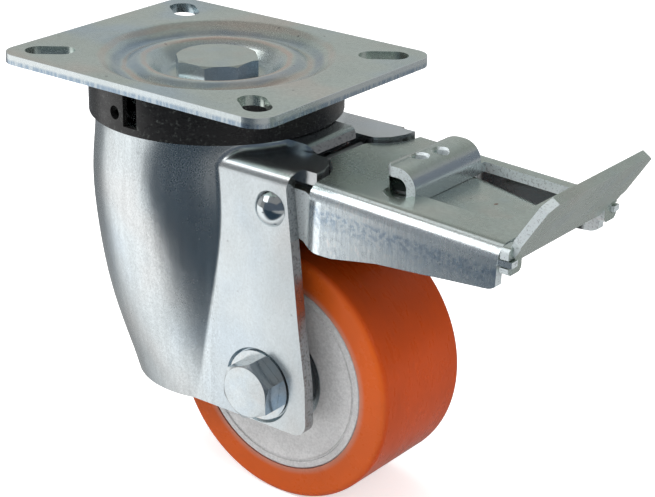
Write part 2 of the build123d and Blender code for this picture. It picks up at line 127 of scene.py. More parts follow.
# where on the floor those tones give way to each other, in metres
NEARER = (0.804, -0.595)  # toward the camera and a little to its right
NEAR_EDGE = (0.045, 0.135)
UNDER_EDGE = (-0.125, -0.085)
PEDAL_EDGE = (0.24, 0.45)
FAR_LEFT_EDGE = (-0.08, -0.30)
BEYOND_EDGE = (-0.12, -0.01)

# tones of the other cards
GLOWS = {
    "wall": (0.10, 0.12, 0.15),
    "haze": (0.47, 0.47, 0.47),
    "soft": (2.3, 2.3, 2.3),
}

# upright cards: name, the two feet, the height of the top edge and the glow
WALLS = (
    ("front_card", (-0.7, -1.3), (1.3, -1.3), 0.8, "wall"),
    ("side_card", (1.3, -1.3), (1.3, 3.0), 1.0, "wall"),
    ("back_card", (-2.2, 0.4), (0.7, 1.9), 1.25, "haze"),
    ("left_card", (-2.2, 0.4), (-1.6, -1.2), 0.9, "haze"),
)
SOFT_CARD = (
    (-0.95, -0.95, 0.55),
    (-0.25, -1.05, 0.55),
    (-1.05, -0.25, 1.05),
    (-0.35, -0.35, 1.05),
)

# lamps: which power setting, the place and the size of the square
LAMPS = (
    ("key", (-0.60, -0.62, 0.85), 0.9),
    ("fill", (0.95, -0.10, 0.45), 0.6),
    ("top", (0.0, 0.25, 1.0), 0.8),
)
LAMP_TARGET = (0.05, 0.0, -0.07)

CAMERA_PLACE = (0.47821843, -0.55484330, 0.21808022)
CAMERA_RIGHT = Vector((0.79098396, 0.61167677, 0.01399674))
CAMERA_UP = Vector((-0.24207704, 0.29186595, 0.92531777))
CAMERA_LENS = 105.448
CAMERA_SHIFT = (0.00715, -0.00603)


# --- settings -----------------------------------------------------------------


def colour_setting(name, note, value):
    """A colour property with its default."""
    return bpy.props.FloatVectorProperty(
        name=name,
        description=note,
        default=value,
        subtype="COLOR",
        size=3,
        min=0.0,
        max=1.0,
    )


class CastorFinishes(bpy.types.PropertyGroup):
    """Colours and gloss of the castor's metals, plastic and tyre."""

    plating: colour_setting("Plating", "Colour of the zinc plating", (0.68, 0.735, 0.755))
    plate: colour_setting("Top plate", "Colour of the plate's plating", (0.57, 0.652, 0.602))
    web: colour_setting("Lever", "Colour of the lever's plating", (0.50, 0.58, 0.53))
    warm: colour_setting("Warm tint", "Straw and pink tint of thin passivation", (0.74, 0.60, 0.52))
    cool: colour_setting("Cool tint", "Blue tint of thick passivation", (0.42, 0.58, 0.76))
    inner: colour_setting("Inner steel", "Colour of parts under the crown", (0.42, 0.43, 0.44))
    tongue: colour_setting("Lock tongue", "Colour of the hardened lock tongue", (0.16, 0.16, 0.17))
    ring: colour_setting("Dust ring", "Colour of the plastic dust ring", (0.014, 0.0135, 0.014))
    hub: colour_setting("Hub", "Colour of the die-cast hub", (0.74, 0.74, 0.74))
    tyre: colour_setting("Tyre", "Colour of the cast tyre", (0.52, 0.064, 0.0045))
    rust: colour_setting("Rust", "Colour of the rust specks", (0.20, 0.07, 0.025))
    gloss: bpy.props.FloatProperty(
        name="Plating roughness",
        description="Roughness of the plating, from 0, mirror bright, to 1, matt",
        default=0.24,
        min=0.05,
        max=0.9,
        subtype="FACTOR",
    )


class CastorThreads(bpy.types.PropertyGroup):
    """Sizes of the screw threads."""

    axle_pitch: bpy.props.FloatProperty(
        name="Axle pitch",
        description="Rise of the axle bolt's thread in one turn",
        default=2.0 * MM,
        min=0.5 * MM,
        max=4.0 * MM,
        unit="LENGTH",
    )
    king_pitch: bpy.props.FloatProperty(
        name="King bolt pitch",
        description="Rise of the king bolt's thread in one turn",
        default=2.5 * MM,
        min=0.5 * MM,
        max=4.0 * MM,
        unit="LENGTH",
    )
    depth: bpy.props.FloatProperty(
        name="Thread depth",
        description="Height of a thread's crest above its shank",
        default=0.35 * MM,
        min=0.1 * MM,
        max=1.0 * MM,
        unit="LENGTH",
    )


class CastorStage(bpy.types.PropertyGroup):
    """Floor, lamps and cards round the castor."""

    floor: colour_setting("Floor", "Colour of the floor", (0.90, 0.90, 0.90))
    key: bpy.props.FloatProperty(
        name="Key lamp",
        description="Power of the large lamp at the upper left",
        default=12.0,
        min=0.0,
        unit="POWER",
    )
    fill: bpy.props.FloatProperty(
        name="Fill lamp",
        description="Power of the lamp on the pedal's side",
        default=2.6,
        min=0.0,
        unit="POWER",
    )
    top: bpy.props.FloatProperty(
        name="Top lamp",
        description="Power of the overhead lamp",
        default=5.0,
        min=0.0,
        unit="POWER",
    )


# --- shader helpers -----------------------------------------------------------


def put(tree, kind, settings=None, **sockets):
    """Adds a node, sets its options and fills its sockets by name."""
    node = tree.nodes.new(kind)
    for name, value in (settings or {}).items():
        setattr(node, name, value)
    feed(tree, node.inputs, **sockets)
    return node


def fill_socket(tree, socket, value):
    """Gives a socket a link or a plain value."""
    if isinstance(value, bpy.types.NodeSocket):
        tree.links.new(value, socket)
    else:
        socket.default_value = value


def feed(tree, inputs, **values):
    """Fills inputs by name, with an underscore in place of a space."""
    for name, value in values.items():
        fill_socket(tree, inputs[name.replace("_", " ")], value)


def sum_of(tree, operation, *values):
    """One Math node on the given numbers or sockets."""
    node = tree.nodes.new("ShaderNodeMath")
    node.operation = operation
    for socket, value in zip(node.inputs, values):
        fill_socket(tree, socket, value)
    return node.outputs[0]


def vector_of(tree, operation, *values):
    """One Vector Math node; a length comes out as a value."""
    node = tree.nodes.new("ShaderNodeVectorMath")
    node.operation = operation
    for socket, value in zip(node.inputs, values):
        fill_socket(tree, socket, value)
    return node.outputs["Value" if operation == "LENGTH" else "Vector"]


def blend_of(tree, share, low, high, mode="MIX"):
    """A colour between low and high."""
    node = tree.nodes.new("ShaderNodeMix")
    node.data_type = "RGBA"
    node.blend_type = mode
    for index, value in ((0, share), (6, low), (7, high)):
        fill_socket(tree, node.inputs[index], value)
    return node.outputs[2]


def step_of(tree, value, start, end, low=0.0, high=1.0):
    """Runs smoothly from low to high as the value goes from start to end."""
    node = put(
        tree,
        "ShaderNodeMapRange",
        {"interpolation_type": "SMOOTHSTEP"},
        Value=value,
        From_Min=start,
        From_Max=end,
        To_Min=low,
        To_Max=high,
    )
    return node.outputs[0]


def noise_of(tree, vector, scale, detail=3.0, rough=0.55):
    """Soft noise from 0 to 1."""
    node = put(
        tree,
        "ShaderNodeTexNoise",
        Vector=vector,
        Scale=scale,
        Detail=detail,
        Roughness=rough,
    )
    return node.outputs["Factor" if "Factor" in node.outputs else "Fac"]


def place_of(tree, centre=ORIGIN):
    """The point on the piece, measured from centre."""
    where = tree.nodes.new("ShaderNodeTexCoord").outputs["Object"]
    return vector_of(tree, "SUBTRACT", where, centre)


def stretched(tree, scale):
    """The point on the piece with each axis scaled, so a texture on it is drawn out."""
    return vector_of(tree, "MULTIPLY", place_of(tree), scale)


def axle_radius(tree):
    """The distance from the axle's line."""
    flat = vector_of(tree, "MULTIPLY", place_of(tree, AXLE), (1.0, 0.0, 1.0))
    return vector_of(tree, "LENGTH", flat)


def axes_of(tree, vector):
    """A vector's X, Y and Z."""
    split = put(tree, "ShaderNodeSeparateXYZ", Vector=vector)
    return split.outputs[0], split.outputs[1], split.outputs[2]


def facing_of(tree):
    """How far the piece's surface faces along X, Y and Z, whichever way round."""
    normal = tree.nodes.new("ShaderNodeTexCoord").outputs["Normal"]
    return axes_of(tree, vector_of(tree, "ABSOLUTE", normal))


def times(tree, first, *others):
    """The product of several numbers or sockets."""
    for other in others:
        first = sum_of(tree, "MULTIPLY", first, other)
    return first


def plus(tree, first, *others):
    """The total of several numbers or sockets."""
    for other in others:
        first = sum_of(tree, "ADD", first, other)
    return first


def between(tree, value, start, full, fall, end):
    """1 from full to fall, fading to 0 at start and at end; all four in millimetres."""
    rise = step_of(tree, value, start * MM, full * MM)
    return times(tree, rise, step_of(tree, value, end * MM, fall * MM))


def grey_of(tree, level):
    """A grey colour from a number."""
    return put(tree, "ShaderNodeCombineColor", Red=level, Green=level, Blue=level).outputs[0]


def shaded(tree, colour, level):
    """A colour made lighter or darker by a number."""
    return blend_of(tree, 1.0, colour, grey_of(tree, level), "MULTIPLY")


def rgba(colour, level=1.0):
    """A colour at some level, with its alpha."""
    return tuple(channel * level for channel in colour) + (1.0,)


def new_group(name, inputs, outputs):
    """A shader group with the given sockets; returns its tree, input sockets and output node."""
    tree = bpy.data.node_groups.new(name, "ShaderNodeTree")
    for label, kind in inputs:
        tree.interface.new_socket(name=label, in_out="INPUT", socket_type=kind)
    for label, kind in outputs:
        tree.interface.new_socket(name=label, in_out="OUTPUT", socket_type=kind)
    return tree, tree.nodes.new("NodeGroupInput").outputs, tree.nodes.new("NodeGroupOutput")


def zinc_plating_group():
    """Cloudy, finely spangled and faintly coloured plating."""
    tree, given, out = new_group(
        "zinc_plating",
        [
            ("Place", "NodeSocketVector"),
            ("Base", "NodeSocketColor"),
            ("Warm", "NodeSocketColor"),
            ("Cool", "NodeSocketColor"),
            ("Tint", "NodeSocketFloat"),
            ("Cloud Scale", "NodeSocketFloat"),
            ("Grain Scale", "NodeSocketFloat"),
            ("Grain", "NodeSocketFloat"),
            ("Roughness", "NodeSocketFloat"),
        ],
        [
            ("Colour", "NodeSocketColor"),
            ("Roughness", "NodeSocketFloat"),
            ("Height", "NodeSocketFloat"),
        ],
    )
    cloud = noise_of(tree, given["Place"], given["Cloud Scale"], 4.0, 0.6)
    shifted = vector_of(tree, "ADD", given["Place"], (0.31, 0.17, 0.09))
    hue = noise_of(tree, shifted, given["Cloud Scale"], 2.0, 0.5)
    grain = noise_of(tree, given["Place"], given["Grain Scale"], 3.0, 0.65)
    flakes = put(tree, "ShaderNodeTexVoronoi", Vector=given["Place"], Scale=given["Grain Scale"])
    flake = axes_of(tree, flakes.outputs["Color"])[0]
    warm = times(tree, step_of(tree, hue, 0.50, 0.70), given["Tint"])
    cool = times(tree, step_of(tree, hue, 0.50, 0.30), given["Tint"])
    tinted = blend_of(tree, warm, given["Base"], given["Warm"])
    tinted = blend_of(tree, cool, tinted, given["Cool"])
    uneven = plus(
        tree,
        times(tree, sum_of(tree, "SUBTRACT", grain, 0.5), 0.75),
        times(tree, sum_of(tree, "SUBTRACT", flake, 0.5), 0.16),
    )
    uneven = times(tree, uneven, given["Grain"])
    shade = plus(tree, step_of(tree, cloud, 0.25, 0.75, 0.95, 1.03), uneven)
    dull = plus(tree, step_of(tree, cloud, 0.3, 0.7, 0.03, -0.03), times(tree, uneven, -0.3))
    rough = plus(tree, given["Roughness"], dull)
    feed(tree, out.inputs, Colour=shaded(tree, tinted, shade), Roughness=rough, Height=grain)
    return tree


def speck_group():
    """Scattered small spots: 1 inside a spot and 0 outside."""
    tree, given, out = new_group(
        "specks",
        [
            ("Place", "NodeSocketVector"),
            ("Scale", "NodeSocketFloat"),
            ("Size", "NodeSocketFloat"),
            ("Share", "NodeSocketFloat"),
        ],
        [("Mask", "NodeSocketFloat")],
    )
    uneven = noise_of(tree, given["Place"], times(tree, given["Scale"], 4.0), 2.0)
    cells = put(tree, "ShaderNodeTexVoronoi", Vector=given["Place"], Scale=given["Scale"])
    reach = times(tree, given["Size"], step_of(tree, uneven, 0.2, 0.8, 0.4, 1.6))
    near = sum_of(tree, "LESS_THAN", cells.outputs["Distance"], reach)
    chance = axes_of(tree, cells.outputs["Color"])[0]
    chosen = sum_of(tree, "LESS_THAN", chance, given["Share"])
    feed(tree, out.inputs, Mask=times(tree, near, chosen))
    return tree


def turned_group():
    """Fine lathe lines that follow a radius."""
    tree, given, out = new_group(
        "turned_lines",
        [("Radius", "NodeSocketFloat"), ("Pitch", "NodeSocketFloat")],
        [("Height", "NodeSocketFloat")],
    )
    turns = sum_of(tree, "DIVIDE", given["Radius"], given["Pitch"])
    line = put(tree, "ShaderNodeCombineXYZ", X=turns)
    feed(tree, out.inputs, Height=noise_of(tree, line.outputs[0], 1.0, 3.0, 0.7))
    return tree


GROUP_MAKERS = {
    "zinc_plating": zinc_plating_group,
    "specks": speck_group,
    "turned_lines": turned_group,
}
groups = {}


def group_node(tree, name, **sockets):
    """Places one of the shared groups, which is built the first time it is used."""
    if name not in groups:
        groups[name] = GROUP_MAKERS[name]()
    node = tree.nodes.new("ShaderNodeGroup")
    node.node_tree = groups[name]
    feed(tree, node.inputs, **sockets)
    return node.outputs


def new_finish(name, metallic, roughness=0.5, specular=0.5):
    """A material with its shader; returns the material, its tree and the shader's sockets."""
    material = bpy.data.materials.new(name)
    material.use_nodes = True
    tree = material.node_tree
    sockets = tree.nodes["Principled BSDF"].inputs
    feed(tree, sockets, Metallic=metallic, Roughness=roughness, Specular_IOR_Level=specular)
    return material, tree, sockets


def bump(tree, sockets, height, strength, distance):
    """Raises the surface by a height map."""
    node = put(tree, "ShaderNodeBump", Strength=strength, Distance=distance, Height=height)
    feed(tree, sockets, Normal=node.outputs[0])


def wear(material, *nodes):
    """Gives CAD nodes this one material."""
    for name in nodes:
        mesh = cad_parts[name].data
        mesh.materials.clear()
        mesh.materials.append(material)


def plated(
    tree,
    sockets,
    colours,
    base,
    tint,
    stretch=(1.0, 1.0, 1.0),
    cloud=45.0,
    grain=1100.0,
    contrast=0.5,
    rough=0.0,
):
    """Lays the zinc plating on a shader and returns its colour, roughness and height."""
    laid = group_node(
        tree,
        "zinc_plating",
        Place=stretched(tree, stretch),
        Base=base if isinstance(base, bpy.types.NodeSocket) else rgba(base),
        Warm=rgba(colours.warm),
        Cool=rgba(colours.cool),
        Tint=tint,
        Cloud_Scale=cloud,
        Grain_Scale=grain,
        Grain=contrast,
        Roughness=colours.gloss + rough,
    )
    feed(tree, sockets, Base_Color=laid["Colour"], Roughness=laid["Roughness"])
    return laid


def torn(tree, colour, tone, mask):
    """A colour with the bright, dark-flecked look of sheared metal where the mask is 1."""
    flecks = noise_of(tree, place_of(tree), 1300.0, 3.0, 0.7)
    bright = blend_of(tree, step_of(tree, flecks, 0.47, 0.34, 0.0, 0.6), tone, rgba((0.20, 0.21, 0.22)))
    return blend_of(tree, mask, colour, bright)


def roughen(tree, sockets, laid, mask):
    """Makes the masked part of a plated piece matt, like torn metal."""
    rough = plus(tree, laid["Roughness"], times(tree, mask, 0.3))
    metallic = sum_of(tree, "SUBTRACT", 0.92, times(tree, mask, 0.45))
    feed(tree, sockets, Roughness=rough, Metallic=metallic)


def spotted(tree, colour, tone, strength, scale, size, share, shift=ORIGIN):
    """A colour with small spots of another tone scattered over it."""
    place = place_of(tree, shift)
    spots = group_node(tree, "specks", Place=place, Scale=scale, Size=size, Share=share)
    return blend_of(tree, times(tree, spots["Mask"], strength), colour, tone)


# --- finishes -----------------------------------------------------------------


def plate_rim(tree):
    """1 on the plate's outer wall, round its corners too, and 0 inside it."""
    flat = stretched(tree, (1.0, 1.0, 0.0))
    corner = (PLATE_HALF_LENGTH - PLATE_CORNER, PLATE_HALF_WIDTH - PLATE_CORNER, 0.0)
    away = vector_of(tree, "SUBTRACT", vector_of(tree, "ABSOLUTE", flat), corner)
    reach = vector_of(tree, "LENGTH", vector_of(tree, "MAXIMUM", away, ORIGIN))
    return step_of(tree, reach, PLATE_CORNER - 0.7 * MM, PLATE_CORNER - 0.1 * MM)


def plate_finish(colours):
    """Pressed plate: rainbow rings in the relief, the cool ones darkened as painted shade, and a
    bright, streaked rim.
    """
    material, tree, sockets = new_finish("plate_zinc", 0.92)
    laid = plated(
        tree,
        sockets,
        colours,
        colours.plate,
        0.42,
        cloud=22.0,
        grain=800.0,
        contrast=0.45,
        rough=0.02,
    )
    colour = laid["Colour"]
    straight = vector_of(tree, "LENGTH", stretched(tree, (1.0, 1.0, 0.0)))
    wobble = noise_of(tree, place_of(tree), 45.0, 2.0)
    radius = plus(tree, straight, step_of(tree, wobble, 0.2, 0.8, -0.9 * MM, 0.9 * MM))
    smear = noise_of(tree, stretched(tree, (1.0, 0.5, 1.0)), 60.0, 3.0)
    uneven = step_of(tree, smear, 0.3, 0.65, 0.35, 1.0)
    # tint rings over the plating; the cool ones are darker as painted shade of the relief
    for tint, level, strength, radii in TINT_AND_SHADE_RINGS:
        ring = times(tree, between(tree, radius, *radii), uneven, strength)
        colour = blend_of(tree, ring, colour, rgba(getattr(colours, tint), level))
    rim = plate_rim(tree)
    colour = blend_of(tree, times(tree, rim, 0.8), colour, rgba(colours.plating, 1.05))
    streaks = noise_of(tree, stretched(tree, (1.0, 1.0, 0.12)), 900.0, 2.0)
    height = axes_of(tree, place_of(tree))[2]
    lower = times(tree, rim, step_of(tree, height, -1.5 * MM, -2.9 * MM))
    worn = times(tree, lower, step_of(tree, streaks, 0.35, 0.60, 0.35, 0.85))
    colour = blend_of(tree, worn, colour, rgba(colours.cool, 0.62))
    colour = spotted(tree, colour, rgba(colours.tongue), 0.55, 170.0, 0.10, 0.07)
    feed(tree, sockets, Base_Color=colour)
    lines = group_node(tree, "turned_lines", Radius=straight, Pitch=0.9 * MM)
    turned = times(tree, lines["Height"], step_of(tree, straight, 50.0 * MM, 46.0 * MM), 0.8)
    relief = plus(tree, turned, times(tree, streaks, rim, 2.2), times(tree, laid["Height"], 0.5))
    bump(tree, sockets, relief, 0.5, 0.02 * MM)
    return material


def fork_finish(colours):
    """Deep-drawn fork: upright draw streaks, fine spangle and dull, speckled cut edges."""
    material, tree, sockets = new_finish("fork_zinc", 0.97)
    x = axes_of(tree, place_of(tree))[0]
    barrel = step_of(tree, x, *FORK_BARREL)
    spangle = step_of(tree, barrel, 0.0, 1.0, 0.25, 0.55)
    laid = plated(
        tree,
        sockets,
        colours,
        colours.plating,
        0.18,
        stretch=(1.0, 1.0, 0.7),
        cloud=30.0,
        grain=1500.0,
        contrast=spangle,
    )
    draw = noise_of(tree, stretched(tree, (1.0, 1.0, 0.05)), 330.0, 3.0, 0.6)
    streaks = plus(tree, times(tree, step_of(tree, draw, 0.3, 0.7, -0.07, 0.05), barrel), 1.0)
    colour = shaded(tree, laid["Colour"], streaks)
    colour = spotted(tree, colour, rgba(colours.inner, 0.7), 0.30, 190.0, 0.09, 0.07)
    legs = step_of(tree, x, *FORK_LEGS)
    cut = times(tree, step_of(tree, facing_of(tree)[0], 0.55, 0.75), legs)
    colour = blend_of(tree, times(tree, cut, 0.75), colour, rgba(colours.inner, 0.85))
    flecks = noise_of(tree, place_of(tree), 1000.0, 3.0)
    rough = times(tree, cut, step_of(tree, flecks, 0.52, 0.62))
    colour = blend_of(tree, times(tree, rough, 0.7), colour, rgba(colours.tongue))
    feed(tree, sockets, Base_Color=colour)
    grain = times(tree, laid["Height"], plus(tree, times(tree, barrel, 0.55), 0.3))
    pits = times(tree, noise_of(tree, place_of(tree), 420.0, 4.0, 0.6), 0.35)
    relief = plus(tree, grain, pits, times(tree, draw, barrel, 0.5), times(tree, rough, 1.5))
    bump(tree, sockets, relief, 0.5, 0.025 * MM)
    return material


def lever_masks(tree):
    """Where the lever's parts are: sides, inner faces painted dark as shade, sheared edges, a stripe
    painted as a dark reflection and the strap's painted highlight.
    """
    fore, aside, _ = facing_of(tree)
    x, y, z = axes_of(tree, place_of(tree))
    out = sum_of(tree, "ABSOLUTE", y)
    fall = times(tree, sum_of(tree, "SUBTRACT", x, LEVER_TOP_X), LEVER_SLOPE)
    level = sum_of(tree, "SUBTRACT", plus(tree, z, fall), LEVER_TOP_Z)
    side = times(tree, step_of(tree, aside, 0.2, 0.8), step_of(tree, out, *LEVER_OUTSIDE))
    edge = times(tree, step_of(tree, aside, 0.3, 0.5), step_of(tree, out, *LEVER_OUTSIDE[::-1]))
    # inner faces seen through the window, painted dark as shade
    painted_shade_walls = times(tree, edge, step_of(tree, out, *LEVER_INSIDE))
    painted_shade_walls = times(tree, painted_shade_walls, step_of(tree, level, -3.0 * MM, -6.0 * MM))
    painted_shade_walls = times(tree, painted_shade_walls, between(tree, x, *LEVER_WINDOW))
    edge = times(tree, edge, sum_of(tree, "SUBTRACT", 1.0, painted_shade_walls))
    end = times(tree, step_of(tree, fore, 0.6, 0.8), step_of(tree, x, *LEVER_TIP))
    dark_reflection_band = times(tree, side, between(tree, level, *LEVER_REFLECTION_BAND))
    strap_highlight = times(tree, step_of(tree, fore, 0.6, 0.9), between(tree, x, *STRAP_HIGHLIGHT))
    return side, painted_shade_walls, sum_of(tree, "MAXIMUM", edge, end), dark_reflection_band, strap_highlight


def lever_finish(colours):
    """Folded lever: grey top, spangled sides painted lighter as painted light, a painted dark
    reflection under the bend, painted shade inside, a painted highlight on the strap and bright sheared
    edges.
    """
    material, tree, sockets = new_finish("lever_zinc", 0.92)
    side, painted_shade_walls, sheared, dark_reflection_band, strap_highlight = lever_masks(tree)
    laid = plated(
        tree,
        sockets,
        colours,
        # the sides take a brighter copy of the plating than the top: painted light
        blend_of(tree, side, rgba(colours.web), rgba(colours.plating, 1.32)),
        0.12,
        stretch=(1.0, 1.0, 0.6),
        cloud=40.0,
        grain=750.0,
        contrast=step_of(tree, side, 0.0, 1.0, 0.5, 0.9),
        rough=0.01,
    )
    roughen(tree, sockets, laid, sheared)
    flecks = noise_of(tree, place_of(tree), 520.0, 3.0, 0.7)
    # painted dark reflection under the bend, flecked like spangle
    dark_reflection_band = times(tree, dark_reflection_band, step_of(tree, flecks, 0.42, 0.58, 0.15, 1.0), 0.65)
    colour = blend_of(tree, dark_reflection_band, laid["Colour"], rgba(colours.cool, 0.80))
    # painted highlight on the strap's faces that face fore and aft
    colour = blend_of(tree, strap_highlight, colour, rgba(colours.plating, 1.25))
    # painted shade on the inner faces
    colour = blend_of(tree, times(tree, painted_shade_walls, 0.8), colour, rgba(colours.inner, 0.35))
    colour = torn(tree, colour, rgba(colours.plating, 1.15), times(tree, sheared, 0.9))
    colour = spotted(tree, colour, rgba(colours.tongue), 0.55, 240.0, 0.10, 0.05)
    rust = rgba(colours.rust, 0.8)
    colour = spotted(tree, colour, rust, 0.5, 120.0, 0.06, 0.05, (0.03, 0.05, 0.01))
    feed(tree, sockets, Base_Color=colour)
    draw = noise_of(tree, stretched(tree, (1.0, 1.0, 0.08)), 800.0, 3.0)
    pits = noise_of(tree, place_of(tree), 500.0, 4.0, 0.65)
    relief = plus(tree, times(tree, draw, side, 1.2), times(tree, pits, 0.7))
    bump(tree, sockets, plus(tree, relief, times(tree, laid["Height"], 0.6)), 0.5, 0.03 * MM)
    return material


def leaf_finish(colours):
    """Spring leaf: grey with a few rust specks and bright edges."""
    material, tree, sockets = new_finish("leaf_zinc", 0.92)
    laid = plated(
        tree,
        sockets,
        colours,
        colours.web,
        0.15,
        cloud=70.0,
        grain=900.0,
        contrast=0.45,
        rough=0.04,
    )
    edge = step_of(tree, facing_of(tree)[2], 0.75, 0.55)
    roughen(tree, sockets, laid, edge)
    colour = torn(tree, laid["Colour"], rgba(colours.plating, 1.1), times(tree, edge, 0.8))
    colour = spotted(tree, colour, rgba(colours.rust), 0.8, 150.0, 0.13, 0.10)
    dark = rgba(colours.tongue, 0.4)
    colour = spotted(tree, colour, dark, 0.9, 300.0, 0.12, 0.07, (0.02, 0.01, 0.0))
    feed(tree, sockets, Base_Color=colour)
    bump(tree, sockets, laid["Height"], 0.4, 0.02 * MM)
    return material


def flap_finish(colours):
    """Pedal flap: rolled plate with soft blotches and bright granular ends."""
    material, tree, sockets = new_finish("flap_zinc", 0.92)
    laid = plated(
        tree,
        sockets,
        colours,
        colours.plate,
        0.15,
        cloud=55.0,
        grain=800.0,
        contrast=0.28,
        rough=0.03,
    )
    end = step_of(tree, facing_of(tree)[1], 0.35, 0.6)
    roughen(tree, sockets, laid, end)
    colour = torn(tree, laid["Colour"], rgba(colours.plating, 1.15), times(tree, end, 0.85))
    colour = spotted(tree, colour, rgba(colours.tongue), 0.45, 240.0, 0.10, 0.06)
    feed(tree, sockets, Base_Color=colour)
    pits = noise_of(tree, place_of(tree), 500.0, 4.0, 0.65)
    bump(tree, sockets, plus(tree, laid["Height"], pits), 0.4, 0.025 * MM)
    return material


def bolt_finish(colours, name, base):
    """Bolts and nuts: plated sides, tops in the given tone, and faces fore and aft painted cool and
    dark as a painted reflection.
    """
    material, tree, sockets = new_finish(name, 0.95)
    fore, _, up = facing_of(tree)
    skin = blend_of(tree, step_of(tree, up, 0.7, 0.9), rgba(colours.plating), rgba(base))
    # faces fore and aft painted darker and cooler: a painted reflection
    painted_dark_flats = times(tree, step_of(tree, fore, 0.5, 0.8), 0.75)
    skin = blend_of(tree, painted_dark_flats, skin, rgba(colours.cool, 0.70))
    laid = plated(tree, sockets, colours, skin, 0.15, cloud=90.0, contrast=0.3, rough=-0.03)
    pits = noise_of(tree, place_of(tree), 600.0, 4.0, 0.6)
    bump(tree, sockets, plus(tree, laid["Height"], pits), 0.35, 0.02 * MM)
    return material


def washer_finish(colours):
    """Punched washers: bright, with a trace of blue."""
    material, tree, sockets = new_finish("washer_zinc", 1.0)
    base = colours.plating
    laid = plated(tree, sockets, colours, base, 0.25, cloud=160.0, contrast=0.3, rough=-0.04)
    bump(tree, sockets, laid["Height"], 0.3, 0.015 * MM)
    return material


def rivet_finish(colours):
    """Rivet heads: smooth and nearly mirror bright."""
    material, tree, sockets = new_finish("rivet_zinc", 1.0)
    base = colours.plating
    laid = plated(tree, sockets, colours, base, 0.05, cloud=200.0, contrast=0.2, rough=-0.10)
    bump(tree, sockets, laid["Height"], 0.15, 0.01 * MM)
    return material


def inner_finish(colours, name="inner_steel", rough=0.12):
    """Plain plated steel out of sight, with a trace of dirt."""
    material, tree, sockets = new_finish(name, 1.0)
    laid = plated(tree, sockets, colours, colours.inner, 0.1, cloud=90.0, rough=rough)
    bump(tree, sockets, laid["Height"], 0.4, 0.02 * MM)
    return material


def ball_finish(colours):
    """Polished balls with a film of grease."""
    material, tree, sockets = new_finish("ball_steel", 1.0)
    smear = noise_of(tree, place_of(tree), 260.0, 2.0)
    film = step_of(tree, smear, 0.35, 0.65)
    colour = blend_of(tree, film, rgba(colours.plating), rgba(colours.warm, 0.7))
    feed(tree, sockets, Base_Color=colour, Roughness=step_of(tree, smear, 0.3, 0.7, 0.08, 0.2))
    return material


def bearing_finish(colours):
    """Ground bearing rings with fine lathe lines round the axle."""
    material, tree, sockets = new_finish("bearing_steel", 1.0)
    lines = group_node(tree, "turned_lines", Radius=axle_radius(tree), Pitch=0.25 * MM)["Height"]
    colour = blend_of(tree, lines, rgba(colours.inner, 0.9), rgba(colours.plating))
    feed(tree, sockets, Base_Color=colour, Roughness=step_of(tree, lines, 0.3, 0.7, 0.2, 0.32))
    bump(tree, sockets, lines, 0.3, 0.02 * MM)
    return material


def tongue_finish(colours):
    """Dark hardened lock tongue with rubbed bright streaks."""
    material, tree, sockets = new_finish("tongue_steel", 1.0)
    rub = noise_of(tree, stretched(tree, (1.0, 0.15, 1.0)), 320.0, 3.0)
    bright = step_of(tree, rub, 0.55, 0.75)
    colour = blend_of(tree, bright, rgba(colours.tongue), rgba(colours.inner))
    feed(tree, sockets, Base_Color=colour, Roughness=step_of(tree, rub, 0.3, 0.7, 0.24, 0.34))
    bump(tree, sockets, rub, 0.3, 0.03 * MM)
    return material


def seal_finish(colours):
    """Matt rubber seals with a moulded ring texture."""
    material, tree, sockets = new_finish("seal_black", 0.0, 0.6)
    lines = group_node(tree, "turned_lines", Radius=axle_radius(tree), Pitch=0.5 * MM)["Height"]
    colour = blend_of(tree, lines, rgba(colours.ring, 2.0), rgba(colours.ring, 4.5))
    feed(tree, sockets, Base_Color=colour)
    bump(tree, sockets, lines, 0.4, 0.03 * MM)
    return material


def ring_finish(colours):
    """Moulded dust ring: smooth black plastic with dusty rubs and settled grains."""
    material, tree, sockets = new_finish("ring_black", 0.0, specular=0.35)
    dust = noise_of(tree, stretched(tree, (1.0, 1.0, 2.2)), 130.0, 5.0, 0.7)
    soft = noise_of(tree, place_of(tree), 30.0, 2.0)
    rubbed = times(tree, step_of(tree, dust, 0.56, 0.74), step_of(tree, soft, 0.45, 0.7), 0.18)
    colour = blend_of(tree, rubbed, rgba(colours.ring), rgba(colours.web, 0.6))
    grains = noise_of(tree, place_of(tree, (0.02, 0.01, 0.0)), 850.0, 3.0, 0.65)
    settled = plus(tree, times(tree, soft, 0.5), 0.10)
    settled = times(tree, step_of(tree, grains, 0.57, 0.68), settled, 0.35)
    colour = blend_of(tree, settled, colour, rgba(colours.web, 0.8))
    feed(tree, sockets, Base_Color=colour, Roughness=step_of(tree, dust, 0.3, 0.7, 0.20, 0.36))
    bump(tree, sockets, noise_of(tree, place_of(tree), 380.0, 3.0), 0.2, 0.04 * MM)
    return material


def hub_finish(colours):
    """Die-cast hub: sandy face, fine turned rim and a dirty line at the tyre."""
    material, tree, sockets = new_finish("hub_aluminium", 0.35)
    place = place_of(tree, AXLE)
    radius = axle_radius(tree)
    sand = noise_of(tree, place, 900.0, 4.0, 0.75)
    cloud = noise_of(tree, place, 90.0, 3.0)
    lines = group_node(tree, "turned_lines", Radius=radius, Pitch=0.45 * MM)["Height"]
    rim = step_of(tree, radius, *HUB_RIM)
    sandy = step_of(tree, sand, 0.3, 0.7, 0.84, 1.10)
    shade = times(tree, sandy, step_of(tree, cloud, 0.25, 0.75, 0.94, 1.04))
    ringed = times(tree, step_of(tree, lines, 0.35, 0.65, -0.16, 0.05), rim)
    colour = shaded(tree, rgba(colours.hub), plus(tree, shade, ringed))
    dirt = step_of(tree, radius, *HUB_DIRT)
    stain = times(tree, dirt, step_of(tree, cloud, 0.35, 0.6), 0.45)
    colour = blend_of(tree, stain, colour, rgba(colours.inner, 0.5))
    feed(tree, sockets, Base_Color=colour, Roughness=step_of(tree, sand, 0.3, 0.7, 0.46, 0.58))
    bump(tree, sockets, plus(tree, sand, times(tree, lines, rim)), 0.5, 0.05 * MM)
    return material


